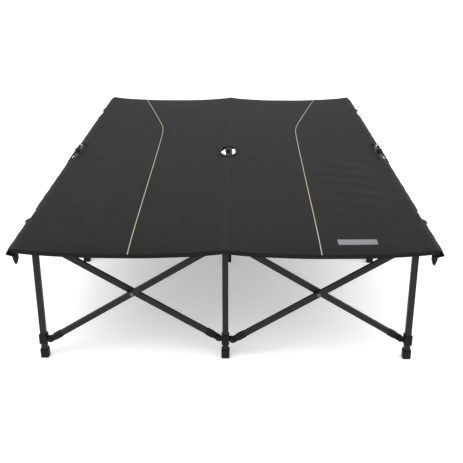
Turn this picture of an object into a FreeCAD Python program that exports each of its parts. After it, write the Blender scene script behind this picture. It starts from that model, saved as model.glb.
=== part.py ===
import FreeCAD, Part
import os

from FreeCAD import Placement, Rotation, Vector
import Sketcher

# A double folding cot, in millimetres. X is its width, Y its length with the front end at -Y, and Z is up.
# The origin lies on the ground under the middle of the deck, below the line where the frame folds in half.
# Each half has two leg rows, and each row has three hollow legs, three hubs and two crossed pairs of arms.
# A hub's guide post slides in its leg, so that the crossed arms can close.

SIZES = {
    "deck_length": 2000,
    "deck_width": 1350,
    "deck_top": 451,
    "cloth_thick": 2,
    "deck_split": 2,
    "row_inset": 110,
    "row_inner": 160,
    "rail_inset": 25,
    "rail_outset": 38,
    "rail_drop": 1,
    "rail_radius": 11,
    "rail_wall": 1.5,
    "rail_set_back": 15,
    "leg_side": 20,
    "leg_wall": 1.5,
    "leg_corner": 3,
    "hub_tall": 42,
    "hub_pivot_rise": 23,
    "leg_head_gap": 1,
    "foot_wall": 4,
    "foot_tall": 30,
    "foot_sole": 6,
    "foot_corner": 6,
    "fit_play": 0.1,
    "collar_wall": 3,
    "bracket_tall": 34,
    "pivot_low": 70,
    "lug_thick": 6,
    "lug_radius": 9,
    "side_gap": 0.3,
    "stud_radius": 3,
    "pivot_play": 0.08,
    "open_play": 0.4,
    "cap_radius": 6,
    "cap_thick": 2.5,
    "arm_wide": 20,
    "arm_deep": 10,
    "arm_wall": 1.5,
    "sleeve_start": 20,
    "sleeve_long": 26,
    "sleeve_wall": 1.2,
    "tube_stop": 4,
    "spacer_radius": 9,
    "spacer_thick": 6,
    "rivet_head": 6,
    "rivet_cap": 2.5,
    "saddle_deep": 16,
    "hub_half_y": 14,
    "post_play": 0.6,
    "post_wall": 1.5,
    "post_foot_gap": 45,
    "fold_above": 2,
    "knuckle_radius": 8.5,
    "stop_gap": 0.2,
    "stop_clear": 1,
    "block_long": 50,
    "block_wide": 23,
    "tongue_wide": 8,
    "tongue_gap": 0.4,
    "pin_radius": 3.5,
    "pin_head_radius": 6,
    "pin_head_thick": 2.5,
    "hinge_hole_x": 30,
    "hinge_hole_y": 62,
    "side_cut_deep": 42,
    "side_cut_y": 100,
    "notch_deep": 11,
    "notch_long": 85,
    "notch_gap": 45,
    "hook_wide": 18,
    "hook_tip_wide": 8,
    "hook_drop": 42,
    "hook_thick": 6,
    "hook_shift": 6,
    "cap_over": 1.5,
    "cut_over": 1,
}

# Sizes that follow from the ones above.
WORKED = {
    "rail_x": "dims.deck_width / 2 - dims.rail_inset",
    "column_x": "dims.deck_width / 2 - dims.rail_inset - dims.rail_outset",
    "row_end": "dims.deck_length / 2 - dims.row_inset",
    "rail_centre_z": "dims.deck_top - dims.cloth_thick - dims.rail_drop - dims.rail_radius",
    "hub_under": "worked.rail_centre_z - dims.hub_tall",
    "pivot_high": "worked.hub_under + dims.hub_pivot_rise",
    "pivot_offset": "dims.leg_side / 2 + dims.collar_wall + dims.arm_wide / 2"
    " + dims.sleeve_wall + dims.side_gap",
    "post_side": "dims.leg_side - 2 * dims.leg_wall - 2 * dims.post_play",
    "post_long": "worked.hub_under - dims.post_foot_gap",
    "foot_side": "dims.leg_side + 2 * dims.foot_wall",
    "fold_z": "dims.deck_top + dims.fold_above",
    "stop_top": "worked.fold_z - dims.knuckle_radius - dims.stop_clear",
    "notch_near": "worked.row_end - dims.row_inset - dims.notch_long - dims.notch_gap",
    "notch_far": "worked.row_end - dims.row_inset - dims.notch_gap",
}

doc = FreeCAD.newDocument("folding_cot")


def fill_sheet(name, cells):
    """A spreadsheet with an alias for each value."""
    sheet = doc.addObject("Spreadsheet::Sheet", name)
    for row, (alias, content) in enumerate(cells.items(), start=1):
        sheet.set(f"A{row}", alias)
        sheet.set(f"B{row}", content)
        sheet.setAlias(f"B{row}", alias)
    doc.recompute()
    return sheet


dims = fill_sheet("dims", {alias: str(size) for alias, size in SIZES.items()})
worked = fill_sheet("worked", {alias: f"={formula}" for alias, formula in WORKED.items()})

# Expressions that several pieces share.
COLLAR = "(dims.leg_side / 2 + dims.collar_wall)"
# Shares of the knuckle radius that a hinge horn reaches along the rail, at its foot and at its tip.
HORN_FOOT = 2
HORN_TIP = 0.9
# Shares of a corner hook's drop at which it starts and stops narrowing.
HOOK_SHOULDER = 0.55
HOOK_TAPER = 0.93
ARM_RUN = "(worked.column_x - 2 * worked.pivot_offset)"
ARM_RISE = "(worked.pivot_high - dims.pivot_low)"
ARM_LONG = f"hypot({ARM_RUN}; {ARM_RISE})"
ARM_ANGLE = f"atan2({ARM_RISE}; {ARM_RUN})"
ARM_SHIFT = "(dims.lug_thick / 2 + dims.side_gap + dims.arm_deep / 2)"
FOLD_RISE = "(worked.fold_z - worked.rail_centre_z)"
STOP_RISE = "(worked.stop_top - worked.rail_centre_z)"
DECK_Z = "dims.deck_top - dims.cloth_thick"

X_AXIS, Y_AXIS, Z_AXIS = Vector(1, 0, 0), Vector(0, 1, 0), Vector(0, 0, 1)
SIDES = {"left": -1, "centre": 0, "right": 1}
HALVES = {"front": -1, "rear": 1}
subparts = []


def bind(thing, **expressions):
    for name, expression in expressions.items():
        thing.setExpression(name.replace("__", "."), str(expression))
    return thing


def place(thing, x=0, y=0, z=0, axis=None, angle=None):
    """Put a piece at x, y, z, turned about one axis, all bound to the sheet."""
    if axis is not None:
        thing.Placement = Placement(Vector(), Rotation(axis, 10))
        bind(thing, Placement__Rotation__Angle=angle)
    return bind(thing, Placement__Base__x=x, Placement__Base__y=y, Placement__Base__z=z)


def box(name, x, y, z):
    """A block between pairs of limits along each axis."""
    block = doc.addObject("Part::Box", name)
    spans = {"Length": x, "Width": y, "Height": z}
    for side, (low, high) in spans.items():
        bind(block, **{side: f"({high}) - ({low})"})
    return place(block, x[0], y[0], z[0])


def rod(name, radius, long, x, y, z, axis):
    """A round bar centred on a point, along one axis."""
    bar = doc.addObject("Part::Cylinder", name)
    bind(bar, Radius=radius, Height=long)
    turned = {"x": (Y_AXIS, 90), "y": (X_AXIS, -90), "z": (Z_AXIS, 0)}[axis]
    middle = {"x": x, "y": y, "z": z}
    middle[axis] = f"({middle[axis]}) - ({long}) / 2"
    return place(bar, middle["x"], middle["y"], middle["z"], turned[0], turned[1])


def fuse(name, shapes):
    joined = doc.addObject("Part::MultiFuse", name)
    joined.Shapes = shapes
    return joined


def cut(name, base, tool):
    rest = doc.addObject("Part::Cut", name)
    rest.Base = base
    rest.Tool = tool
    return rest


def group(name, shapes):
    """Like pieces of one body, kept as separate solids of one sub-part."""
    several = doc.addObject("Part::Compound", name)
    several.Links = shapes
    return subpart(several, name)


def subpart(thing, label):
    thing.Label = label
    subparts.append(thing)
    return thing


def sketch(body, name, plane, offset=0):
    drawing = body.newObject("Sketcher::SketchObject", name)
    support = next(f for f in body.Origin.OriginFeatures if f.Role == plane)
    drawing.AttachmentSupport = [(support, "")]
    drawing.MapMode = "FlatFace"
    bind(drawing, AttachmentOffset__Base__z=offset)
    return drawing


def outline(drawing, corners):
    """A closed outline whose corners are bound to the sheet."""
    spots = []
    for u, v in corners:
        spots.append(Vector(float(dims.evalExpression(str(u))), float(dims.evalExpression(str(v))), 0))
    first = drawing.GeometryCount
    count = len(spots)
    for index in range(count):
        drawing.addGeometry(Part.LineSegment(spots[index], spots[(index + 1) % count]))
    for index, (u, v) in enumerate(corners):
        line = first + index
        drawing.addConstraint(Sketcher.Constraint("Coincident", line, 2, first + (index + 1) % count, 1))
        for kind, expression, value in (("DistanceX", u, spots[index].x), ("DistanceY", v, spots[index].y)):
            number = drawing.addConstraint(Sketcher.Constraint(kind, -1, 1, line, 1, value))
            drawing.setExpression(f"Constraints[{number}]", str(expression))


def rectangle(drawing, wide, tall):
    u, v = f"({wide}) / 2", f"({tall}) / 2"
    outline(drawing, [(f"-{u}", f"-{v}"), (u, f"-{v}"), (u, v), (f"-{u}", v)])


def circle(drawing, radius, v=0):
    size = float(dims.evalExpression(str(radius)))
    rise = float(dims.evalExpression(str(v)))
    ring = drawing.addGeometry(Part.Circle(Vector(0, rise, 0), Vector(0, 0, 1), size))
    number = drawing.addConstraint(Sketcher.Constraint("Radius", ring, size))
    drawing.setExpression(f"Constraints[{number}]", str(radius))
    drawing.addConstraint(Sketcher.Constraint("DistanceX", -1, 1, ring, 3, 0))
    number = drawing.addConstraint(Sketcher.Constraint("DistanceY", -1, 1, ring, 3, rise))
    drawing.setExpression(f"Constraints[{number}]", str(v))


def extrude(body, kind, drawing, long, symmetric=False, reverse=False):
    """A Pad or a Pocket of a sketch."""
    feature = body.newObject(f"PartDesign::{kind}", drawing.Name + kind)
    feature.Profile = drawing
    feature.Reversed = reverse
    feature.SideType = "Symmetric" if symmetric else "One side"
    bind(feature, Length=long)
    body.Tip = feature
    drawing.Visibility = False
    return feature


def round_edges(body, feature, radius, wanted):
    doc.recompute()
    edges = [f"Edge{i}" for i, edge in enumerate(feature.Shape.Edges, start=1) if wanted(edge)]
    rounded = body.newObject("PartDesign::Fillet", body.Name + "Fillet")
    rounded.Base = (feature, edges)
    bind(rounded, Radius=radius)
    body.Tip = rounded
    return rounded


def upright_outer(reach):
    def wanted(edge):
        start, end = edge.Vertexes[0].Point, edge.Vertexes[-1].Point
        level = abs(start.x - end.x) + abs(start.y - end.y) < 1e-6
        return level and abs(start.x) > reach and abs(start.z - end.z) > 1

    return wanted


def leg(name, x, y):
    """A square tube from just inside its foot to just under its hub."""
    body = doc.addObject("PartDesign::Body", name)
    ring = sketch(body, name + "_ring", "XY_Plane")
    rectangle(ring, "dims.leg_side", "dims.leg_side")
    rectangle(ring, "dims.leg_side - 2 * dims.leg_wall", "dims.leg_side - 2 * dims.leg_wall")
    tube = extrude(body, "Pad", ring, "worked.hub_under - dims.leg_head_gap - dims.foot_sole")
    inner = float(dims.evalExpression("dims.leg_side / 2 - dims.leg_wall / 2"))
    round_edges(body, tube, "dims.leg_corner", upright_outer(inner))
    return place(body, x, y, "dims.foot_sole")


def foot(name, x, y):
    """A boot that the leg stands in, with rounded corners."""
    body = doc.addObject("PartDesign::Body", name)
    base = sketch(body, name + "_base", "XY_Plane")
    rectangle(base, "worked.foot_side", "worked.foot_side")
    block = extrude(body, "Pad", base, "dims.foot_tall")
    round_edges(body, block, "dims.foot_corner", upright_outer(1))
    socket = sketch(body, name + "_socket", "XY_Plane", "dims.foot_tall")
    rectangle(socket, "dims.leg_side + 2 * dims.fit_play", "dims.leg_side + 2 * dims.fit_play")
    extrude(body, "Pocket", socket, "dims.foot_tall - dims.foot_sole")
    return place(body, x, y, 0)


def lug(name, x, y, z, toward, plane):
    """A plate beside a column with a stud and its cap, which an arm's eye turns on.
    toward is the side of the column it stands on, plane is the face the arm lies against."""
    pivot = f"({x}) + {toward} * worked.pivot_offset"
    limits = [f"({x})", pivot] if toward > 0 else [pivot, f"({x})"]
    half = "dims.lug_thick / 2"
    arm_face = f"({half} + 2 * dims.side_gap + dims.arm_deep)"
    stud_long = f"({arm_face} + dims.cap_thick / 2)"
    return [
        box(
            name + "_plate",
            limits,
            (f"({y}) - {half}", f"({y}) + {half}"),
            (f"{z} - dims.lug_radius", f"{z} + dims.lug_radius"),
        ),
        rod(name + "_eye", "dims.lug_radius", "dims.lug_thick", pivot, y, z, "y"),
        rod(
            name + "_stud",
            "dims.stud_radius",
            stud_long,
            pivot,
            f"({y}) + {plane} * {stud_long} / 2",
            z,
            "y",
        ),
        rod(
            name + "_cap",
            "dims.cap_radius",
            "dims.cap_thick",
            pivot,
            f"({y}) + {plane} * ({arm_face} + dims.cap_thick / 2)",
            z,
            "y",
        ),
    ]


def bracket(name, side, y):
    """The lower collar on a leg, with a lug for each arm that ends there."""
    x = f"{side} * worked.column_x"
    half, tall = COLLAR, "dims.bracket_tall / 2"
    solids = [
        box(
            name + "_collar",
            (f"{x} - {half}", f"{x} + {half}"),
            (f"({y}) - {half}", f"({y}) + {half}"),
            (f"dims.pivot_low - {tall}", f"dims.pivot_low + {tall}"),
        )
    ]
    lugs = {-1: [(1, -1)], 0: [(-1, 1), (1, -1)], 1: [(-1, 1)]}[side]
    for number, (toward, plane) in enumerate(lugs):
        solids += lug(f"{name}_lug{number}", x, y, "dims.pivot_low", toward, plane)
    bore = "(dims.leg_side / 2 + dims.fit_play)"
    passage = box(
        name + "_passage",
        (f"{x} - {bore}", f"{x} + {bore}"),
        (f"({y}) - {bore}", f"({y}) + {bore}"),
        (f"dims.pivot_low - {tall} - dims.cut_over", f"dims.pivot_low + {tall} + dims.cut_over"),
    )
    return cut(name, fuse(name + "_solid", solids), passage)


def hub(name, side, y):
    """The upper hub: a block with lugs, a saddle for the rail and the guide post that slides in the leg."""
    x = f"{side} * worked.column_x"
    rail = f"{side} * worked.rail_x"
    half, deep = COLLAR, "dims.hub_half_y"
    across = (f"({y}) - {deep}", f"({y}) + {deep}")
    span_x = (f"{x} - {half}", f"{x} + {half}")
    solids = [box(name + "_block", span_x, across, ("worked.hub_under", "worked.rail_centre_z"))]
    if side:
        reach = f"{rail} + {side} * (dims.rail_radius + dims.collar_wall)"
        saddle = (x, reach) if side > 0 else (reach, x)
        level = ("worked.rail_centre_z - dims.saddle_deep", "worked.rail_centre_z")
        solids.append(box(name + "_saddle", saddle, across, level))
    lugs = {-1: [(1, 1)], 0: [(-1, -1), (1, 1)], 1: [(-1, -1)]}[side]
    for number, (toward, plane) in enumerate(lugs):
        solids += lug(f"{name}_lug{number}", x, y, "worked.pivot_high", toward, plane)
    low = "worked.hub_under - worked.post_long"
    skins = []
    for kind, side_expression, top in (
        ("post", "worked.post_side / 2", "worked.hub_under + dims.cut_over"),
        ("hollow", "(worked.post_side / 2 - dims.post_wall)", "worked.hub_under"),
    ):
        skins.append(
            box(
                f"{name}_{kind}",
                (f"{x} - {side_expression}", f"{x} + {side_expression}"),
                (f"({y}) - {side_expression}", f"({y}) + {side_expression}"),
                (low if kind == "post" else f"{low} - dims.cut_over", top),
            )
        )
    groove = rod(
        name + "_groove",
        "dims.rail_radius",
        f"2 * {deep} + 2 * dims.cut_over",
        rail,
        y,
        "worked.rail_centre_z",
        "y",
    )
    removed = fuse(name + "_removed", [skins[1], groove])
    return cut(name, fuse(name + "_solid", solids + [skins[0]]), removed)


def arm_plane(side, kind):
    """The face of the lugs an arm lies against: down arms and up arms of one pair take opposite faces."""
    return side if kind == "down" else -side


def put_arm(piece, side, kind, y):
    plane = arm_plane(side, kind)
    middle = "(dims.pivot_low + worked.pivot_high) / 2"
    return place(
        piece,
        f"{side} * worked.column_x / 2",
        f"({y}) + {plane} * {ARM_SHIFT}",
        middle,
        Y_AXIS,
        f"{plane} * {ARM_ANGLE}",
    )


def arm(name, side, kind, y):
    """A flat-sided tube between two end fittings, with a hole where the pair crosses."""
    body = doc.addObject("PartDesign::Body", name)
    ring = sketch(body, name + "_ring", "YZ_Plane")
    rectangle(ring, "dims.arm_deep", "dims.arm_wide")
    rectangle(ring, "dims.arm_deep - 2 * dims.arm_wall", "dims.arm_wide - 2 * dims.arm_wall")
    long = f"{ARM_LONG} - 2 * (dims.sleeve_start + dims.tube_stop)"
    extrude(body, "Pad", ring, long, symmetric=True)
    hole = sketch(body, name + "_hole", "XZ_Plane")
    play = "dims.pivot_play" if kind == "up" else "dims.pivot_play / 4"
    circle(hole, f"dims.stud_radius + {play}")
    extrude(body, "Pocket", hole, "dims.arm_deep + 2 * dims.cut_over", symmetric=True)
    return put_arm(body, side, kind, y)


def arm_end(name, side, kind, y, way):
    """The moulded end of an arm: an eye, a neck and a sleeve over the tube. way is +1 at the arm's +X end."""
    eye_x = f"({way} * {ARM_LONG} / 2)"
    wide, deep = "dims.arm_wide / 2", "dims.arm_deep / 2"
    wall = "dims.sleeve_wall"

    def span(start, end):
        limits = [f"{eye_x} - {way} * ({start})", f"{eye_x} - {way} * ({end})"]
        return limits if way < 0 else limits[::-1]

    far = "dims.sleeve_start + dims.sleeve_long"
    neck = box(name + "_neck", span("0", "dims.sleeve_start"), (f"-{deep}", deep), (f"-{wide}", wide))
    eye = rod(name + "_eye", wide, "dims.arm_deep", eye_x, "0", "0", "y")
    sleeve = box(
        name + "_sleeve",
        span("dims.sleeve_start", far),
        (f"-{deep} - {wall}", f"{deep} + {wall}"),
        (f"-{wide} - {wall}", f"{wide} + {wall}"),
    )
    play = "dims.fit_play"
    seat = box(
        name + "_seat",
        span("dims.sleeve_start + dims.tube_stop - dims.fit_play", f"{far} + dims.cut_over"),
        (f"-{deep} - {play}", f"{deep} + {play}"),
        (f"-{wide} - {play}", f"{wide} + {play}"),
    )
    opened = side > 0 and kind == "up" and way < 0
    gap = "dims.open_play" if opened else "dims.pivot_play"
    through = "dims.arm_deep + 2 * dims.cut_over"
    bore = rod(name + "_bore", f"dims.stud_radius + {gap}", through, eye_x, "0", "0", "y")
    piece = cut(name, fuse(name + "_solid", [neck, eye, sleeve]), fuse(name + "_removed", [seat, bore]))
    return put_arm(piece, side, kind, y)


def turned(name, corners, plane, role):
    """A round piece turned from half its outline."""
    body = doc.addObject("PartDesign::Body", name)
    profile = sketch(body, name + "_profile", plane)
    outline(profile, corners)
    spin = body.newObject("PartDesign::Revolution", name + "_spin")
    spin.Profile = profile
    spin.ReferenceAxis = (next(f for f in body.Origin.OriginFeatures if f.Role == role), [""])
    spin.Angle = 360
    body.Tip = spin
    return body


def crossing_rivet(name, side, y):
    """The rivet and spacer that the two arms of a pair turn on, midway along them."""
    face = "(dims.lug_thick / 2 + 2 * dims.side_gap + dims.arm_deep)"
    end, half, pin = f"({face} + dims.rivet_cap)", "dims.spacer_thick / 2", "dims.stud_radius"
    head, wide = "dims.rivet_head", "dims.spacer_radius"
    upper = [(wide, half), (pin, half), (pin, face), (head, face), (head, end), (0, end)]
    lower = [(u, f"-({v})") for u, v in reversed(upper)]
    rivet = turned(name, lower + upper, "XY_Plane", "Y_Axis")
    return place(rivet, f"{side} * worked.column_x / 2", y, "(dims.pivot_low + worked.pivot_high) / 2")


def rail(label, side, way):
    """Half of a rail, with its half of the folding hinge formed on the inner end.
    The front half carries the fork and the rear half the tongue."""
    fork = way < 0
    body = doc.addObject("PartDesign::Body", label)
    ring = sketch(body, label + "_ring", "XZ_Plane", f"{-way} * dims.block_long / 2")
    circle(ring, "dims.rail_radius")
    circle(ring, "dims.rail_radius - dims.rail_wall")
    long = "dims.deck_length / 2 - dims.rail_set_back - dims.block_long / 2"
    extrude(body, "Pad", ring, long, reverse=way > 0)
    low = "-(dims.rail_radius - dims.cut_over)"
    high = STOP_RISE
    block = sketch(body, label + "_block", "YZ_Plane")
    inner, outer = f"{way} * dims.stop_gap", f"{way} * dims.block_long"
    outline(block, [(inner, low), (outer, low), (outer, high), (inner, high)])
    extrude(body, "Pad", block, "dims.block_wide", symmetric=True)
    thick = "dims.block_wide" if fork else "dims.tongue_wide"
    horn = sketch(body, label + "_horn", "YZ_Plane")
    foot_y = f"{way} * dims.knuckle_radius * {HORN_FOOT}"
    base = f"{STOP_RISE} - dims.cut_over"
    tip_y = f"{way} * dims.knuckle_radius * {HORN_TIP}"
    outline(horn, [(inner, base), (foot_y, base), (tip_y, FOLD_RISE), (inner, FOLD_RISE)])
    extrude(body, "Pad", horn, thick, symmetric=True)
    knuckle = sketch(body, label + "_knuckle", "YZ_Plane")
    circle(knuckle, "dims.knuckle_radius", FOLD_RISE)
    extrude(body, "Pad", knuckle, thick, symmetric=True)
    if fork:
        slot = sketch(body, label + "_slot", "YZ_Plane")
        reach = f"dims.knuckle_radius * {HORN_FOOT} + 2 * dims.cut_over"
        top = f"{FOLD_RISE} + dims.knuckle_radius + dims.cut_over"
        outline(slot, [(f"-({reach})", high), (reach, high), (reach, top), (f"-({reach})", top)])
        extrude(body, "Pocket", slot, "dims.tongue_wide + 2 * dims.tongue_gap", symmetric=True)
    bore = sketch(body, label + "_bore", "YZ_Plane")
    play = "dims.pivot_play / 4" if fork else ("dims.open_play" if side else "dims.pivot_play")
    circle(bore, f"dims.pin_radius + {play}", FOLD_RISE)
    extrude(body, "Pocket", bore, "dims.block_wide + 2 * dims.cut_over", symmetric=True)
    place(body, f"{side} * worked.rail_x", 0, "worked.rail_centre_z")
    return subpart(body, label)


def hinge_pin(label, side):
    """The headed pin on which the two halves of a rail fold."""
    face, pin, head = "(dims.block_wide / 2 + dims.fit_play)", "dims.pin_radius", "dims.pin_head_radius"
    end = f"({face} + dims.pin_head_thick)"
    right = [(face, pin), (face, head), (end, head), (end, 0)]
    left = [(f"-{u}", v) for u, v in reversed(right)]
    pin_body = turned(label, left + right, "XY_Plane", "X_Axis")
    place(pin_body, f"{side} * worked.rail_x", 0, "worked.fold_z")
    return subpart(pin_body, label)


def corner_hook(label, side, way):
    """The moulded end of a side rail: a plug, a cap and a tapered hook that hangs below the hem."""
    body = doc.addObject("PartDesign::Body", label)
    plug = sketch(body, label + "_plug", "XZ_Plane")
    circle(plug, "dims.rail_radius - dims.rail_wall - dims.fit_play")
    extrude(body, "Pad", plug, "2 * dims.rail_radius", reverse=way < 0)
    cap = sketch(body, label + "_cap", "XZ_Plane")
    circle(cap, "dims.rail_radius - dims.cap_over")
    extrude(body, "Pad", cap, "dims.hook_thick", reverse=way > 0)
    drop = sketch(body, label + "_drop", "XZ_Plane")
    middle = f"{-side} * dims.hook_shift"
    wide, tip, fall = "dims.hook_wide / 2", "dims.hook_tip_wide / 2", "dims.hook_drop"
    shoulder = f"-{fall} * {HOOK_SHOULDER}"
    taper = f"-{fall} * {HOOK_TAPER}"
    right = [(wide, "0"), (wide, shoulder), (tip, taper), (f"{tip} / 2", f"-{fall}")]
    corners = [(f"{middle} - {u}", v) for u, v in reversed(right)][::-1]
    mirrored = [(f"{middle} + {u}", v) for u, v in reversed(right)]
    outline(drop, corners + mirrored)
    extrude(body, "Pad", drop, "dims.hook_thick", reverse=way > 0)
    end_y = f"{way} * (dims.deck_length / 2 - dims.rail_set_back + dims.fit_play)"
    place(body, f"{side} * worked.rail_x", end_y, "worked.rail_centre_z")
    return subpart(body, label)


def deck(label, way):
    """Half of the cloth deck: flat, with side cut-outs, a centre hole half and two small side notches."""
    half_wide, end = "dims.deck_width / 2", "dims.deck_length / 2"
    notch = f"{half_wide} - dims.notch_deep"
    cut_x = f"{half_wide} - dims.side_cut_deep"
    right = [
        (half_wide, end),
        (half_wide, "worked.notch_far"),
        (notch, "worked.notch_far"),
        (notch, "worked.notch_near"),
        (half_wide, "worked.notch_near"),
        (half_wide, "dims.side_cut_y"),
        (cut_x, "dims.side_cut_y"),
        (cut_x, "dims.deck_split / 2"),
        ("dims.hinge_hole_x", "dims.deck_split / 2"),
        ("dims.hinge_hole_x", "dims.hinge_hole_y"),
    ]
    corners = [(u, f"{way} * ({v})") for u, v in right]
    corners += [(f"-({u})", v) for u, v in reversed(corners)]
    body = doc.addObject("PartDesign::Body", label)
    cloth = sketch(body, label + "_cloth", "XY_Plane")
    outline(cloth, corners)
    extrude(body, "Pad", cloth, "dims.cloth_thick")
    place(body, 0, 0, DECK_Z)
    return subpart(body, label)


def build_half(half, way):
    rows = [f"{way} * worked.row_end", f"{way} * dims.row_inner"]
    deck(f"{half}_deck", way)
    for place_name, side in SIDES.items():
        rail(f"{half}_{place_name}_rail", side, way)
        for plural, single in (("hubs", hub), ("brackets", bracket)):
            name = f"{half}_{place_name}_{plural}"
            group(name, [single(f"{name}_{number}", side, y) for number, y in enumerate(rows)])
        for plural, single in (("legs", leg), ("feet", foot)):
            name = f"{half}_{place_name}_{plural}"
            x = f"{side} * worked.column_x"
            group(name, [single(f"{name}_{number}", x, y) for number, y in enumerate(rows)])
        if side:
            corner_hook(f"{half}_{place_name}_corner_hook", side, way)
            rivets = f"{half}_{place_name}_crossing_rivets"
            group(rivets, [crossing_rivet(f"{rivets}_{number}", side, y) for number, y in enumerate(rows)])
            for kind in ("down", "up"):
                name = f"{half}_{place_name}_{kind}_arms"
                group(name, [arm(f"{name}_{number}", side, kind, y) for number, y in enumerate(rows)])
                name = f"{half}_{place_name}_{kind}_arm_ends"
                ends = [
                    arm_end(f"{name}_{number}{letter}", side, kind, y, end)
                    for number, y in enumerate(rows)
                    for letter, end in (("a", -1), ("b", 1))
                ]
                group(name, ends)


for half, way in HALVES.items():
    build_half(half, way)
for place_name, side in SIDES.items():
    hinge_pin(f"{place_name}_hinge_pin", side)
doc.recompute()

failed = [thing.Name for thing in doc.Objects if {"Invalid", "Error"} & set(thing.State)]
failed += [thing.Label for thing in subparts if thing.Shape.isNull() or not thing.Shape.isValid()]
if failed:
    raise SystemExit(f"these did not build: {failed}")
os.makedirs("parts", exist_ok=True)
for thing in subparts:
    thing.Shape.exportStep(f"parts/{thing.Label}.step")
print(len(subparts), "sub-parts")
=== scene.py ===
import math

import bpy
from bpy.props import FloatProperty, FloatVectorProperty, IntProperty, PointerProperty
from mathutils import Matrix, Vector


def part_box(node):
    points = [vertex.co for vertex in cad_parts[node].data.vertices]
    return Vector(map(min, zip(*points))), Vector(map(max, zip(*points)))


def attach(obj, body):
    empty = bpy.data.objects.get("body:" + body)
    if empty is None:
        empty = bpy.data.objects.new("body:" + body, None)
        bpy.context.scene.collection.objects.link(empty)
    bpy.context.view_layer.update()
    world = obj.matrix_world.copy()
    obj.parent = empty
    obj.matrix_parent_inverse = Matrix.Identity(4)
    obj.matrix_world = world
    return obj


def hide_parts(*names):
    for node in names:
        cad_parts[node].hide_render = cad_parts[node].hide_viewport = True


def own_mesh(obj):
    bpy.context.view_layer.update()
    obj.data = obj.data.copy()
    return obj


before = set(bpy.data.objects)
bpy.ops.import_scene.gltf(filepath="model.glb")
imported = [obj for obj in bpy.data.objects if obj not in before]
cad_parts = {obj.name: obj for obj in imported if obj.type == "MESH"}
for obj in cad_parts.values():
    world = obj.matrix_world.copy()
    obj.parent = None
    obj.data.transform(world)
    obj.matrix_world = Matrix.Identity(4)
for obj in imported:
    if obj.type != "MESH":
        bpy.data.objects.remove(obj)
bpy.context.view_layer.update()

bl_info = {
    "name": "Folding cot",
    "version": (1, 0, 0),
    "blender": (4, 5, 0),
    "location": "View3D > Sidebar > Cot",
    "description": "Dresses the folding cot's frame with its cloth deck, trims and finishes",
    "category": "Object",
}

# Places read from the frame.
DECK_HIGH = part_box("rear_deck")[1]
RAIL_LOW, RAIL_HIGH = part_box("rear_right_rail")
HUB_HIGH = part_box("rear_right_hubs")[1]
HALF_LENGTH = DECK_HIGH.y
HALF_WIDTH = DECK_HIGH.x
RAIL_X = (RAIL_LOW.x + RAIL_HIGH.x) / 2
RAIL_Z = HUB_HIGH.z
TOP_Z = DECK_HIGH.z - 0.0008
SIDES = {"left": -1, "right": 1}
HALVES = {"front": -1, "rear": 1}

# Places on the cloth, measured from the middle of the cot.
PANEL_X = RAIL_X - 0.008
CUT_X = HALF_WIDTH - 0.042
CUT_Y = 0.100
HOLE_X, HOLE_Y = 0.030, 0.0625
STRIP_X = HOLE_X
ROWS = (0.160, 0.890)
NOTCH = (0.650, 0.735)
# Half the length of a hub along its rail, where the side sleeve is open underneath.
HUB_REACH = 0.018
# Half the gap between the front and rear pieces of a tape that crosses the fold.
SPLIT = 0.0004
# Heights of the cloth's waves: pull lines at the hubs, creases, creases at the cut-outs, and a slow swell.
PULL_HEIGHT = 0.00035
RIGHT_CREASE, LEFT_CREASE = 0.0008, 0.0005
CUT_CREASE = 0.0007
SWELL_HEIGHT = 0.0012
# How far the waves as a whole are lowered, and how far in from an end hem its extra dip fades.
WAVE_DROP = 0.0015
HEM_REACH = 0.075
# Thicknesses of the flat trims, and how far each starts below the cloth's top.
HOLE_TAPE, HOLE_TAPE_DROP = 0.0028, 0.0016
CUT_TAPE, CUT_TAPE_DROP = 0.0026, 0.0014
STRAP_THICK, STRAP_RISE = 0.003, 0.001
TAB_THICK, TAB_ROUND = 0.0018, 0.0006
PIPING_RADIUS, PIPING_RISE = 0.0016, 0.0006
# The camera's place in metres, and its downward tilt and turn in degrees.
CAMERA_PLACE = (0.037, -3.008, 1.401)
CAMERA_DOWN, CAMERA_TURN = 20.25, 0.45


class CotCloth(bpy.types.PropertyGroup):
    colour: FloatVectorProperty(
        name="Cloth colour",
        description="Colour of the woven deck",
        subtype="COLOR",
        default=(0.0100, 0.0100, 0.0103),
    )
    binding: FloatVectorProperty(
        name="Binding colour",
        description="Colour of hems, straps and tabs",
        subtype="COLOR",
        default=(0.0045, 0.0045, 0.005),
    )
    piping: FloatVectorProperty(
        name="Piping colour",
        description="Colour of the two piping lines",
        subtype="COLOR",
        default=(0.42, 0.38, 0.27),
    )
    patch: FloatVectorProperty(
        name="Patch colour",
        description="Colour of the plain patch",
        subtype="COLOR",
        default=(0.19, 0.19, 0.20),
    )
    sag: FloatProperty(
        name="Sag",
        description="Dip of the cloth between two rails",
        default=0.006,
        unit="LENGTH",
    )
    hem_sag: FloatProperty(
        name="Hem sag",
        description="Extra dip of the end hems between two rails",
        default=0.012,
        unit="LENGTH",
    )
    steps: IntProperty(
        name="Steps",
        description="Cloth rows in each half",
        default=120,
    )


class CotMetal(bpy.types.PropertyGroup):
    colour: FloatVectorProperty(
        name="Tube colour",
        description="Colour of the powder coat",
        subtype="COLOR",
        default=(0.0050, 0.0050, 0.0053),
    )
    moulding: FloatVectorProperty(
        name="Moulding colour",
        description="Colour of the hubs, brackets and feet",
        subtype="COLOR",
        default=(0.0022, 0.0022, 0.0024),
    )
    steel: FloatVectorProperty(
        name="Pin colour",
        description="Colour of pins and rivets",
        subtype="COLOR",
        default=(0.09, 0.09, 0.095),
    )


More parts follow.
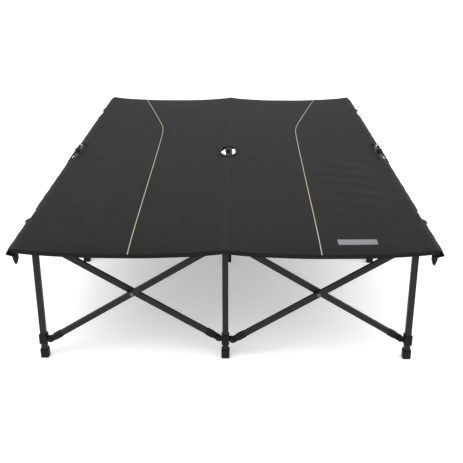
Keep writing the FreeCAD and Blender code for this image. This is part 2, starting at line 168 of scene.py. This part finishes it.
class CotStage(bpy.types.PropertyGroup):
    lens: FloatProperty(
        name="Lens",
        description="Camera lens in millimetres",
        default=56.55,
    )
    shift: FloatProperty(
        name="Shift",
        description="Upward shift of the lens, in sensor widths",
        default=-0.1,
    )
    floor: FloatVectorProperty(
        name="Floor colour",
        description="Colour of the pale floor",
        subtype="COLOR",
        default=(0.97, 0.97, 0.97),
    )


class Value:
    """A shader socket that can be used in sums."""

    def __init__(self, net, socket):
        self.net, self.socket = net, socket

    def _math(self, operation, *others):
        return self.net.math(operation, self, *others)

    def __add__(self, other):
        return self._math("ADD", other)

    def __mul__(self, other):
        return self._math("MULTIPLY", other)

    def __sub__(self, other):
        return self._math("SUBTRACT", other)

    def __truediv__(self, other):
        return self._math("DIVIDE", other)

    def __rsub__(self, other):
        return self.net.math("SUBTRACT", other, self)

    __radd__, __rmul__ = __add__, __mul__

    def sine(self):
        return self._math("SINE")

    def absolute(self):
        return self._math("ABSOLUTE")

    def smooth(self, low, high):
        """0 below low, 1 above high, and smooth between."""
        return self.net.node(
            "ShaderNodeMapRange",
            {"interpolation_type": "SMOOTHSTEP"},
            {"Value": self, "From Min": low, "From Max": high},
        )


class Net:
    """One material's node tree, with a principled shader."""

    def __init__(self, name, **uniform):
        self.material = bpy.data.materials.new(name)
        self.material.use_nodes = True
        self.tree = self.material.node_tree
        self.shader = self.tree.nodes["Principled BSDF"]
        self.set(**uniform)

    def link(self, value, socket):
        if isinstance(value, Value):
            self.tree.links.new(value.socket, socket)
        else:
            socket.default_value = value

    def set(self, **values):
        for name, value in values.items():
            self.link(value, self.shader.inputs[name.replace("_", " ")])

    def node(self, kind, settings=None, inputs=None, output=0):
        made = self.tree.nodes.new(kind)
        for name, value in (settings or {}).items():
            setattr(made, name, value)
        for name, value in (inputs or {}).items():
            self.link(value, made.inputs[name])
        return Value(self, made.outputs[output])

    def math(self, operation, *values):
        return self.node("ShaderNodeMath", {"operation": operation}, dict(enumerate(values)))

    def place(self):
        """The point's x, y and z in the cot's frame, and the point itself."""
        point = self.node("ShaderNodeTexCoord", output="Object")
        axes = [self.node("ShaderNodeSeparateXYZ", inputs={"Vector": point}, output=i) for i in range(3)]
        return [*axes, point]

    def noise(self, point, scale, detail=3.0):
        return self.node("ShaderNodeTexNoise", inputs={"Vector": point, "Scale": scale, "Detail": detail})

    def tint(self, factor, dark, light):
        """A mix of two colours, as a colour socket."""
        return self.node(
            "ShaderNodeMix", {"data_type": "RGBA"}, {0: factor, 6: (*dark, 1), 7: (*light, 1)}, output=2
        )

    def bump(self, height, strength, distance):
        normal = self.node(
            "ShaderNodeBump", inputs={"Height": height, "Strength": strength, "Distance": distance}
        )
        self.set(Normal=normal)


def shade(colour, amount):
    return tuple(min(1.0, channel * amount) for channel in colour)


def woven(name, colour, pitch, roughness=0.88, variation=0.16, strength=0.35):
    """Plain weave: raised threads in two directions, slubs, and soft wear."""
    net = Net(name, Roughness=roughness, Sheen_Weight=0.05, Sheen_Roughness=0.5, Specular_IOR_Level=0.1)
    x, y, z, point = net.place()
    turn = math.tau / pitch
    warp, weft = (x * turn).sine(), (y * turn).sine()
    weave = warp * weft
    slub = net.noise(point, 90.0)
    wear = net.noise(point, 2.2)
    level = weave * 0.18 + slub * 0.5 + wear * 0.6
    factor = level.smooth(0.15, 0.95)
    net.set(Base_Color=net.tint(factor, shade(colour, 1 - variation), shade(colour, 1 + variation)))
    net.bump(weave * 0.5 + slub * 0.5, strength, pitch * 0.35)
    return net.material


def deck_cloth(cloth):
    """The deck's weave, darker along its seams and hems, with a stitch line beside them."""
    colour = tuple(cloth.colour)
    net = Net("deck_cloth", Roughness=0.9, Sheen_Weight=0.05, Sheen_Roughness=0.45, Specular_IOR_Level=0.08)
    x, y, z, point = net.place()
    turn = math.tau / 0.0024
    weave = (x * turn).sine() * (y * turn).sine()
    slub = net.noise(point, 70.0)
    wear = net.noise(point, 1.6)
    level = (weave * 0.15 + slub * 0.45 + wear * 0.65).smooth(0.2, 0.95)
    rub = (1.0 - (x.absolute() - RAIL_X + 0.004).absolute() / 0.014).smooth(0.0, 1.0)
    ridge = (1.0 - x.absolute() / 0.012).smooth(0.0, 1.0)
    hem = ((y.absolute() - HALF_LENGTH + 0.032).absolute() - 0.001).smooth(0.0015, 0.0)
    seam = ((x.absolute() - PANEL_X + 0.020).absolute() - 0.0008).smooth(0.0015, 0.0)
    dash = ((x + y) * (math.tau / 0.009)).sine().smooth(-0.3, 0.3)
    stitch = (hem + seam) * dash
    base = net.tint(level, shade(colour, 0.82), shade(colour, 1.22))
    worn = net.node(
        "ShaderNodeMix",
        {"data_type": "RGBA"},
        {0: (rub + ridge) * 0.3, 6: base, 7: (*shade(colour, 1.9), 1)},
        output=2,
    )
    sewn = net.node(
        "ShaderNodeMix",
        {"data_type": "RGBA"},
        {0: stitch * 0.6, 6: worn, 7: (*shade(colour, 0.35), 1)},
        output=2,
    )
    net.set(Base_Color=sewn)
    creases = net.noise(point, 6.0, 5.0)
    net.bump(weave * 0.25 + slub * 0.3 + creases * 1.2 - stitch * 0.8, 0.5, 0.0012)
    return net.material


def coated(name, colour, grain, roughness, dust_and_highlight_colour, gloss):
    """Powder coat or a grained moulding: fine grain, mottled gloss, dust near the floor and a painted
    highlight on convex edges.
    """
    net = Net(name, Specular_IOR_Level=gloss)
    x, y, z, point = net.place()
    fine = net.noise(point, grain)
    cloud = net.noise(point, 9.0)
    # Painted highlight: convex edges are lightened towards the light colour, standing in for light caught
    # along the tube edges.
    painted_edge_highlight = net.node("ShaderNodeNewGeometry", output="Pointiness").smooth(0.53, 0.62)
    dust = (1.0 - z / 0.05).smooth(0.0, 1.0) * cloud
    level = (fine * 0.4 + cloud * 0.6).smooth(0.3, 0.8)
    base = net.tint(level, shade(colour, 0.8), shade(colour, 1.25))
    # The light colour mixes in the painted edge highlight and real dust near the floor.
    shown = net.node(
        "ShaderNodeMix",
        {"data_type": "RGBA"},
        {0: painted_edge_highlight * 0.35 + dust * 0.25, 6: base, 7: (*dust_and_highlight_colour, 1)},
        output=2,
    )
    net.set(Base_Color=shown, Roughness=level * 0.12 + (roughness - 0.06))
    net.bump(fine, 0.25, 0.0004)
    return net.material


def steel(name, colour):
    """Zinc plated steel with fine turning marks."""
    net = Net(name, Metallic=0.85)
    x, y, z, point = net.place()
    marks = net.noise(point, 420.0, 2.0)
    level = marks.smooth(0.3, 0.7)
    net.set(Base_Color=net.tint(level, shade(colour, 0.7), shade(colour, 1.4)), Roughness=level * 0.2 + 0.32)
    net.bump(marks, 0.2, 0.0002)
    return net.material


def add_mesh(name, points, faces, material, smooth=True):
    mesh = bpy.data.meshes.new(name)
    mesh.from_pydata(points, [], faces)
    mesh.validate()
    if smooth:
        mesh.polygons.foreach_set("use_smooth", [True] * len(mesh.polygons))
    thing = bpy.data.objects.new(name, mesh)
    bpy.context.scene.collection.objects.link(thing)
    thing.data.materials.append(material)
    return thing


def bell(distance, width):
    return math.exp(-((distance / width) ** 2))


def cloth_height(x, y):
    """Height of the stretched deck, which dips between its three rails and has pull lines at the hubs."""
    cloth = bpy.context.scene.cot_cloth
    across = min(1.0, abs(x) / PANEL_X)
    dip = (4 * across * (1 - across)) ** 0.8 if 0 < across < 1 else 0.0
    end = max(0.0, HALF_LENGTH - abs(y))
    hem = math.exp(-end / HEM_REACH)
    low = cloth.sag * (1 - 0.4 * hem) + cloth.hem_sag * hem
    pull = 0.0
    for row in ROWS:
        near = bell(abs(y) - row, 0.20)
        pull += near * math.sin(31 * abs(x) + 9 * math.sin(5 * y) + row) * PULL_HEIGHT
    # Slanting creases towards the right rail, strongest in the front half.
    slant = x * 26 + y * 58 + 1.4 * math.sin(9 * x)
    crease = bell(x - 0.50, 0.16) * bell(y + 0.45, 0.42) * math.sin(slant) ** 3 * RIGHT_CREASE
    crease += bell(x + 0.52, 0.13) * bell(y + 0.62, 0.30) * math.sin(y * 46 - x * 31) ** 3 * LEFT_CREASE
    corner = bell(abs(x) - CUT_X, 0.07) * bell(abs(y) - CUT_Y, 0.11)
    hinge = corner * math.sin(abs(x) * 60 - y * 85) * CUT_CREASE
    swell = SWELL_HEIGHT * math.sin(4.1 * x + 1.3) * math.sin(3.3 * y + 0.4)
    free = min(1.0, dip * 1.6)
    return TOP_Z - low * dip + free * (pull + crease + hinge + swell - WAVE_DROP)


def cloth_normal(x, y):
    step = 0.0015
    slope_x = (cloth_height(x + step, y) - cloth_height(x - step, y)) / (2 * step)
    slope_y = (cloth_height(x, y + step) - cloth_height(x, y - step)) / (2 * step)
    if abs(x) < step or abs(x) > PANEL_X - 2 * step:
        slope_x = 0.0
    return Vector((-slope_x, -slope_y, 1)).normalized()


def stations(low, high, count, kept=()):
    """Evenly spaced places from low to high that also take in the kept ones."""
    even = [low + (high - low) * i / count for i in range(count + 1)]
    gap = (high - low) / count
    middle = [place for place in even if all(abs(place - k) > gap * 0.4 for k in (*kept, low, high))]
    return sorted({*middle, *kept, low, high})


def panel(name, half, way, low_x, high_x, columns, material, body):
    """One strip of one half of the deck, with its end hem rolled under."""
    rows = bpy.context.scene.cot_cloth.steps
    xs = stations(low_x, high_x, columns, [k for k in (-CUT_X, CUT_X) if low_x < k < high_x])
    ys = stations(0.0, HALF_LENGTH - 0.003, rows, (HOLE_Y, CUT_Y))
    points, normals = [], []
    roll = [(0.0022, -0.0012), (0.003, -0.004), (0.0026, -0.0125), (0.0004, -0.0145), (-0.006, -0.0135)]
    for y in ys:
        for x in xs:
            points.append((x, way * y, cloth_height(x, way * y)))
            normals.append(cloth_normal(x, way * y))
    last = ys[-1]
    for out, drop in roll:
        for x in xs:
            points.append((x, way * (last + out), cloth_height(x, way * last) + drop))
            normals.append(Vector((0, way, 0.25 if drop > -0.003 else 0.0)).normalized())
    faces = []
    wide = len(xs)
    levels = len(ys) + len(roll)
    for j in range(levels - 1):
        for i in range(wide - 1):
            middle_x = abs(xs[i] + xs[i + 1]) / 2
            middle_y = (ys[j] + ys[j + 1]) / 2 if j + 1 < len(ys) else HALF_LENGTH
            if middle_x < HOLE_X and middle_y < HOLE_Y:
                continue
            if middle_x > CUT_X and middle_y < CUT_Y:
                continue
            a, b = j * wide + i, (j + 1) * wide + i
            face = (a, a + 1, b + 1, b)
            faces.append(face if way > 0 else face[::-1])
    strip = add_mesh(name, points, faces, material)
    strip.data.normals_split_custom_set_from_vertices(normals)
    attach(strip, body)
    return strip


def tube(name, path, radius, material, sides=8):
    """A round bead along a list of points."""
    points, faces = [], []
    for i, here in enumerate(path):
        ahead = path[min(i + 1, len(path) - 1)] - path[max(i - 1, 0)]
        across = ahead.cross(Vector((0, 0, 1))).normalized()
        up = across.cross(ahead).normalized()
        for k in range(sides):
            turn = math.tau * k / sides
            points.append(here + radius * (math.cos(turn) * across + math.sin(turn) * up))
    for i in range(len(path) - 1):
        for k in range(sides):
            n = (k + 1) % sides
            faces.append((i * sides + k, i * sides + n, (i + 1) * sides + n, (i + 1) * sides + k))
    faces.append(tuple(range(sides))[::-1])
    faces.append(tuple(range((len(path) - 1) * sides, len(path) * sides)))
    return add_mesh(name, points, faces, material)


def slab(name, corners, height, thick, material, bevel=0.0):
    """A flat piece with the given outline, standing on a height function."""
    count = len(corners)
    points = [(x, y, height(x, y)) for x, y in corners] + [(x, y, height(x, y) + thick) for x, y in corners]
    faces = [tuple(range(count))[::-1], tuple(range(count, 2 * count))]
    faces += [(i, (i + 1) % count, count + (i + 1) % count, count + i) for i in range(count)]
    piece = add_mesh(name, points, faces, material, smooth=False)
    if bevel:
        rounding = piece.modifiers.new("rounding", "BEVEL")
        rounding.width = bevel
        rounding.segments = 2
    return piece


class COT_OT_deck(bpy.types.Operator):
    """Lay the cloth deck in six strips that meet without a gap"""

    bl_idname = "cot.deck"
    bl_label = "Cloth deck"

    def execute(self, context):
        cloth = context.scene.cot_cloth
        material = deck_cloth(cloth)
        for half, way in HALVES.items():
            body = f"{half}_frame"
            middle = panel(f"{half}_deck_middle", half, way, -STRIP_X, STRIP_X, 10, material, body)
            for side_name, side in SIDES.items():
                low, high = sorted((side * STRIP_X, side * PANEL_X))
                strip = panel(f"{half}_deck_{side_name}", half, way, low, high, 90, material, body)
                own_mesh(strip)
            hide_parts(f"{half}_deck")
        return {"FINISHED"}


def sleeve_section(notched):
    """The hem's loop round a side rail, as outward and upward offsets from the rail's centre."""
    tip = 0.0145 if notched else 0.0235
    return [
        (-0.0085, 0.0128), (-0.002, 0.0132), (0.006, 0.0122), (0.012, 0.0075 if notched else 0.0085),
        (tip * 0.86, 0.002), (tip, -0.004), (tip * 0.93, -0.0072), (0.0105, -0.0095),
        (0.0, -0.0128), (-0.007, -0.0118), (-0.0122, -0.006), (-0.0132, 0.001), (-0.0122, 0.0085),
    ]


class COT_OT_sleeves(bpy.types.Operator):
    """Wrap the deck's side hems round the side rails"""

    bl_idname = "cot.sleeves"
    bl_label = "Side hem sleeves"

    def execute(self, context):
        material = woven("hem_cloth", tuple(context.scene.cot_cloth.colour), 0.0024)
        for half, way in HALVES.items():
            for side_name, side in SIDES.items():
                hub_ends = [row + end for row in ROWS for end in (-HUB_REACH, HUB_REACH)]
                ys = stations(CUT_Y, HALF_LENGTH - 0.001, 90, (*NOTCH, *hub_ends))
                points, faces = [], []
                for y in ys:
                    notched = NOTCH[0] <= y <= NOTCH[1]
                    pinch = 1 - 0.10 * bell(y - HALF_LENGTH, 0.02)
                    for out, up in sleeve_section(notched):
                        ripple = 0.0006 * math.sin(y * 70 + out * 200) * bell(out - 0.02, 0.01)
                        points.append((side * (RAIL_X + out * pinch + ripple), way * y, RAIL_Z + up))
                wide = len(sleeve_section(False))
                for j in range(len(ys) - 1):
                    at_hub = any(abs((ys[j] + ys[j + 1]) / 2 - row) < HUB_REACH for row in ROWS)
                    for i in range(wide):
                        if at_hub and 5 < i < wide - 1:
                            continue
                        n = (i + 1) % wide
                        face = (j * wide + i, j * wide + n, (j + 1) * wide + n, (j + 1) * wide + i)
                        faces.append(face if side * way < 0 else face[::-1])
                sleeve = add_mesh(f"{half}_{side_name}_hem_sleeve", points, faces, material)
                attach(sleeve, f"{half}_{side_name}_side")
                section = [Vector(place) for place in sleeve_section(False)]
        return {"FINISHED"}


def piping_x(y):
    """Distance of the piping from the middle: nearly straight, then flaring towards the rear hem."""
    bend, front, rear = 0.38, 0.297, 0.465
    waist = 0.312
    straight = front + (waist - front) * (y + HALF_LENGTH) / (bend + HALF_LENGTH)
    flare = (rear - waist) / (HALF_LENGTH - bend)
    past = y - bend
    soft = 0.07
    return straight + flare * (past + math.sqrt(past * past + soft * soft)) / 2


class COT_OT_piping(bpy.types.Operator):
    """Sew the two pale piping lines along the deck"""

    bl_idname = "cot.piping"
    bl_label = "Piping"

    def execute(self, context):
        material = woven("piping_cord", tuple(context.scene.cot_cloth.piping), 0.0016, strength=0.2)
        for half, way in HALVES.items():
            for side_name, side in SIDES.items():
                ys = stations(0.0, HALF_LENGTH - 0.001, 110)
                path = []
                for y in ys:
                    x = side * piping_x(way * y)
                    path.append(Vector((x, way * y, cloth_height(x, way * y) + PIPING_RISE)))
                bead = tube(f"{half}_{side_name}_piping", path, PIPING_RADIUS, material)
                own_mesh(bead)
                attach(bead, f"{half}_frame")
        return {"FINISHED"}


class COT_OT_bindings(bpy.types.Operator):
    """Bind the centre hole and bridge the side cut-outs with straps"""

    bl_idname = "cot.bindings"
    bl_label = "Bindings and straps"

    def execute(self, context):
        material = woven("binding_tape", tuple(context.scene.cot_cloth.binding), 0.0018, strength=0.5)
        for half, way in HALVES.items():
            inner = [(HOLE_X - 0.0005, 0.0), (HOLE_X - 0.0005, 0.034), (0.012, HOLE_Y - 0.001)]
            outer = [(0.038, 0.0), (0.038, 0.052), (0.017, 0.084)]
            ring = inner + [(-x, y) for x, y in reversed(inner)]
            rim = outer + [(-x, y) for x, y in reversed(outer)]
            corners = [(x, way * y) for x, y in ring + rim[::-1]]
            flip = corners if way < 0 else corners[::-1]
            name = f"{half}_hole_binding"
            edge = slab(name, flip, lambda x, y: TOP_Z - HOLE_TAPE_DROP, HOLE_TAPE, material)
            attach(edge, f"{half}_frame")
            for side_name, side in SIDES.items():
                outer_x, inner_x = RAIL_X + 0.0225, RAIL_X + 0.0150
                far = CUT_Y + 0.02
                corners = [(outer_x, SPLIT), (outer_x, far), (inner_x, far), (inner_x, SPLIT)]
                corners = [(side * x, way * y) for x, y in corners]
                flip = corners if side * way > 0 else corners[::-1]
                name = f"{half}_{side_name}_hinge_strap"
                strap = slab(name, flip, lambda x, y: RAIL_Z + STRAP_RISE, STRAP_THICK, material)
                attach(strap, f"{half}_{side_name}_side")
                edge_x = [(CUT_X - 0.006, SPLIT), (CUT_X + 0.001, SPLIT), (CUT_X + 0.001, CUT_Y - 0.006)]
                edge_x += [(PANEL_X, CUT_Y - 0.001), (PANEL_X, CUT_Y + 0.007), (CUT_X - 0.006, CUT_Y + 0.003)]
                corners = [(side * x, way * y) for x, y in edge_x]
                flip = corners if side * way > 0 else corners[::-1]
                name = f"{half}_{side_name}_cutout_binding"
                bound = slab(name, flip, lambda x, y: TOP_Z - CUT_TAPE_DROP, CUT_TAPE, material)
                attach(bound, f"{half}_{side_name}_side")
        return {"FINISHED"}


class COT_OT_tabs(bpy.types.Operator):
    """Sew a webbing tab beside each side notch"""

    bl_idname = "cot.tabs"
    bl_label = "Webbing tabs"

    def execute(self, context):
        material = woven("webbing", tuple(context.scene.cot_cloth.binding), 0.0030, strength=0.7)
        for half, way in HALVES.items():
            for side_name, side in SIDES.items():
                start = NOTCH[1] + 0.002
                inner_x, outer_x = RAIL_X - 0.004, RAIL_X + 0.0275
                corners = [(inner_x, start), (outer_x, start), (outer_x, start + 0.026)]
                corners += [(RAIL_X + 0.022, start + 0.030), (inner_x, start + 0.030)]
                corners = [(side * x, way * y) for x, y in corners]
                flip = corners if side * way > 0 else corners[::-1]

                def lie(x, y):
                    out = max(0.0, abs(x) - RAIL_X - 0.006)
                    return RAIL_Z + 0.0128 - out * 0.65

                tab = slab(f"{half}_{side_name}_tab", flip, lie, TAB_THICK, material, bevel=TAB_ROUND)
                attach(tab, f"{half}_{side_name}_side")
        return {"FINISHED"}


class COT_OT_patch(bpy.types.Operator):
    """Sew the plain patch near the front right corner"""

    bl_idname = "cot.patch"
    bl_label = "Plain patch"

    def execute(self, context):
        material = woven("patch_cloth", tuple(context.scene.cot_cloth.patch), 0.0020, variation=0.25)
        middle_x, middle_y, wide, long = 0.418, -0.918, 0.124, 0.036
        columns, rows = 16, 6
        points, faces = [], []
        for j in range(rows + 1):
            for i in range(columns + 1):
                x = middle_x + wide * (i / columns - 0.5)
                y = middle_y + long * (j / rows - 0.5)
                edge = i in (0, columns) or j in (0, rows)
                points.append((x, y, cloth_height(x, y) + (0.0002 if edge else 0.0012)))
        for j in range(rows):
            for i in range(columns):
                a, b = j * (columns + 1) + i, (j + 1) * (columns + 1) + i
                faces.append((a, a + 1, b + 1, b))
        patch = add_mesh("front_patch", points, faces, material)
        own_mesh(patch)
        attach(patch, "front_frame")
        return {"FINISHED"}


class COT_OT_finishes(bpy.types.Operator):
    """Give the frame's tubes, mouldings and pins their finishes"""

    bl_idname = "cot.finishes"
    bl_label = "Frame finishes"

    def execute(self, context):
        metal = context.scene.cot_metal
        # The fifth value is the light colour of the painted edge highlight and of dust near the floor.
        tube_coat = coated("tube_coat", tuple(metal.colour), 700.0, 0.45, (0.03, 0.03, 0.03), 0.15)
        moulding = coated("moulding", tuple(metal.moulding), 420.0, 0.55, (0.015, 0.015, 0.015), 0.12)
        pins = steel("pin_steel", tuple(metal.steel))
        kinds = {"rail": tube_coat, "arms": tube_coat, "legs": tube_coat, "rivets": pins, "pin": pins}
        for name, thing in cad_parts.items():
            if name.endswith("deck"):
                continue
            finish = kinds.get(name.split("_")[-1], moulding)
            for slot in thing.material_slots:
                slot.material = finish
        return {"FINISHED"}


class COT_OT_stage(bpy.types.Operator):
    """Set the floor, the soft light and the camera"""

    bl_idname = "cot.stage"
    bl_label = "Stage"

    def execute(self, context):
        settings = context.scene.cot_stage
        size = 30.0
        corners = [(-size, -size, 0), (size, -size, 0), (size, size, 0), (-size, size, 0)]
        floor = Net("floor_paint", Roughness=0.85, Emission_Color=(1, 1, 1, 1), Emission_Strength=0.3)
        cloud = floor.noise(floor.place()[3], 0.8)
        pale = tuple(settings.floor)
        floor.set(Base_Color=floor.tint(cloud, shade(pale, 0.99), shade(pale, 1.01)))
        add_mesh("floor", corners, [(0, 1, 2, 3)], floor.material, smooth=False)
        world = bpy.data.worlds.new("studio")
        world.use_nodes = True
        world.node_tree.nodes["Background"].inputs["Color"].default_value = (1, 1, 1, 1)
        world.node_tree.nodes["Background"].inputs["Strength"].default_value = 1.05
        context.scene.world = world
        lamps = [
            ("key_light", (-1.8, -2.2, 3.4), 60, 2.6),
            ("fill_light", (2.6, -1.4, 2.6), 30, 2.4),
            ("back_light", (0.3, 3.0, 2.8), 24, 2.8),
        ]
        for name, spot, power, wide in lamps:
            data = bpy.data.lights.new(name, "AREA")
            data.energy, data.size = power, wide
            lamp = bpy.data.objects.new(name, data)
            lamp.location = spot
            lamp.rotation_euler = (Vector((0, 0, 0.35)) - Vector(spot)).to_track_quat("-Z", "Y").to_euler()
            context.scene.collection.objects.link(lamp)
        data = bpy.data.cameras.new("camera")
        data.lens = settings.lens
        data.shift_y = settings.shift
        data.dof.use_dof = False
        camera = bpy.data.objects.new("camera", data)
        camera.location = CAMERA_PLACE
        camera.rotation_euler = (math.radians(90 - CAMERA_DOWN), 0.0, math.radians(CAMERA_TURN))
        context.scene.collection.objects.link(camera)
        context.scene.camera = camera
        context.scene.view_settings.view_transform = "Standard"
        return {"FINISHED"}


PIECES = (
    COT_OT_deck,
    COT_OT_sleeves,
    COT_OT_piping,
    COT_OT_bindings,
    COT_OT_tabs,
    COT_OT_patch,
    COT_OT_finishes,
    COT_OT_stage,
)


class COT_PT_panel(bpy.types.Panel):
    """The cot's sizes, colours and pieces"""

    bl_label = "Folding cot"
    bl_idname = "COT_PT_panel"
    bl_space_type = "VIEW_3D"
    bl_region_type = "UI"
    bl_category = "Cot"

    def draw(self, context):
        for group in (context.scene.cot_cloth, context.scene.cot_metal, context.scene.cot_stage):
            for name in group.__annotations__:
                self.layout.prop(group, name)
        for piece in PIECES:
            self.layout.operator(piece.bl_idname)


GROUPS = {"cot_cloth": CotCloth, "cot_metal": CotMetal, "cot_stage": CotStage}


def register():
    for made in (*GROUPS.values(), *PIECES, COT_PT_panel):
        bpy.utils.register_class(made)
    for name, group in GROUPS.items():
        setattr(bpy.types.Scene, name, PointerProperty(type=group))


def unregister():
    for name in GROUPS:
        delattr(bpy.types.Scene, name)
    for made in reversed((*GROUPS.values(), *PIECES, COT_PT_panel)):
        bpy.utils.unregister_class(made)


def main():
    register()
    for piece in PIECES:
        group, name = piece.bl_idname.split(".")
        getattr(getattr(bpy.ops, group), name)()


if __name__ == "__main__":
    main()
